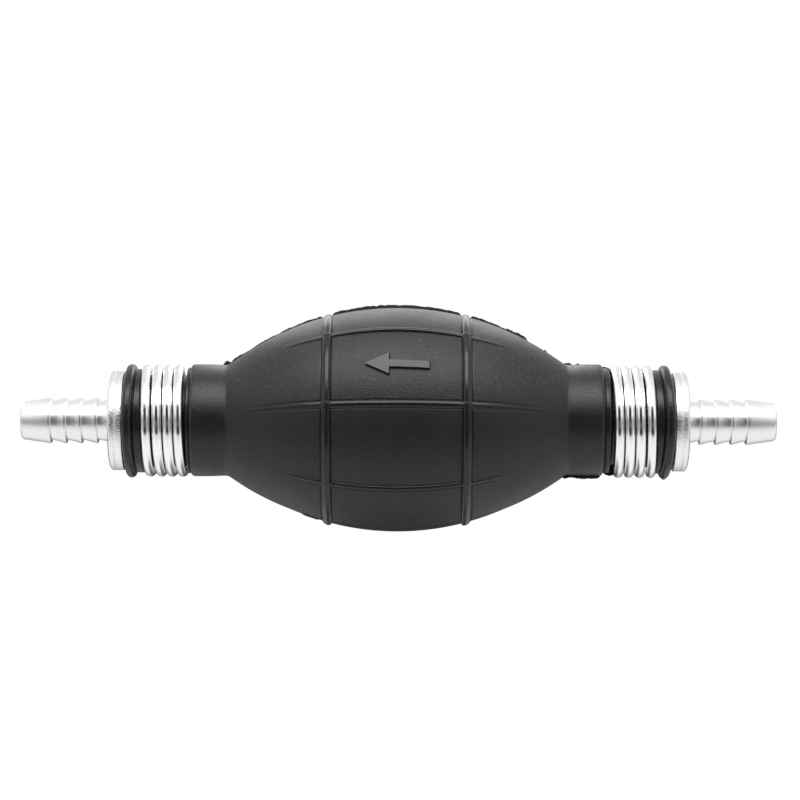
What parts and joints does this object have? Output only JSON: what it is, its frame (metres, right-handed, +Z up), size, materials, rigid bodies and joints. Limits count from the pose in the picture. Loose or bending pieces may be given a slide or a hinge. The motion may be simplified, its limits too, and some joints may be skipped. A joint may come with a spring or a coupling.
{
  "type": "siphon bulb pump",
  "caption": "Squeeze bulb for moving liquid through a hose: ribbed rubber bulb between two metal hose barbs, wire-bound at both necks, with a spring check valve in each end.",
  "frame": {"origin": "middle of the bulb, on the axis of flow", "axes": "+X along the axis towards the inlet barb, so that liquid flows towards -X; +Z up as it lies in the picture"},
  "size_m": [0.16, 0.048, 0.048],
  "materials": {
    "bulb_rubber": "satin moulded rubber",
    "turned_aluminium": "turned",
    "clamp_wire": "bright zinc plated wire",
    "spring_steel": "bright",
    "brass": "turned",
    "seal_rubber": "smooth",
    "white_acetal": "moulded",
    "grey_acetal": "moulded"
  },
  "bodies": {
    "ends": {"inlet_fitting": "turned_aluminium", "inlet_clamp_coil": "clamp_wire", "inlet_retaining_ring": "spring_steel", "inlet_valve_seat": "brass", "inlet_seat_packing": "seal_rubber", "inlet_valve_cage": "grey_acetal", "inlet_valve_spring": "spring_steel", "outlet_fitting": "turned_aluminium", "outlet_clamp_coil": "clamp_wire", "outlet_retaining_ring": "spring_steel", "outlet_valve_seat": "brass", "outlet_seat_packing": "seal_rubber", "outlet_valve_cage": "grey_acetal", "outlet_valve_spring": "spring_steel"},
    "bulb": {"bulb_shell": "bulb_rubber"},
    "inlet_valve": {"inlet_poppet": "white_acetal", "inlet_poppet_seal": "seal_rubber"},
    "outlet_valve": {"outlet_poppet": "white_acetal", "outlet_poppet_seal": "seal_rubber"}
  },
  "joints": [
    {"name": "bulb_squeeze", "type": "slide", "parent": "ends", "child": "bulb", "axis": [0, 0, -1], "range_m": [0, 0.007], "stiffness_N_per_m": 2500, "springref_m": -0.0005, "deforming": ["bulb_shell"]},
    {"name": "inlet_poppet_lift", "type": "slide", "parent": "ends", "child": "inlet_valve", "axis": [-1, 0, 0], "range_m": [0, 0.0022], "stiffness_N_per_m": 60, "springref_m": -0.002, "deforming": ["inlet_valve_spring"]},
    {"name": "outlet_poppet_lift", "type": "slide", "parent": "ends", "child": "outlet_valve", "axis": [-1, 0, 0], "range_m": [0, 0.0022], "stiffness_N_per_m": 60, "springref_m": -0.002, "deforming": ["outlet_valve_spring"]}
  ]
}
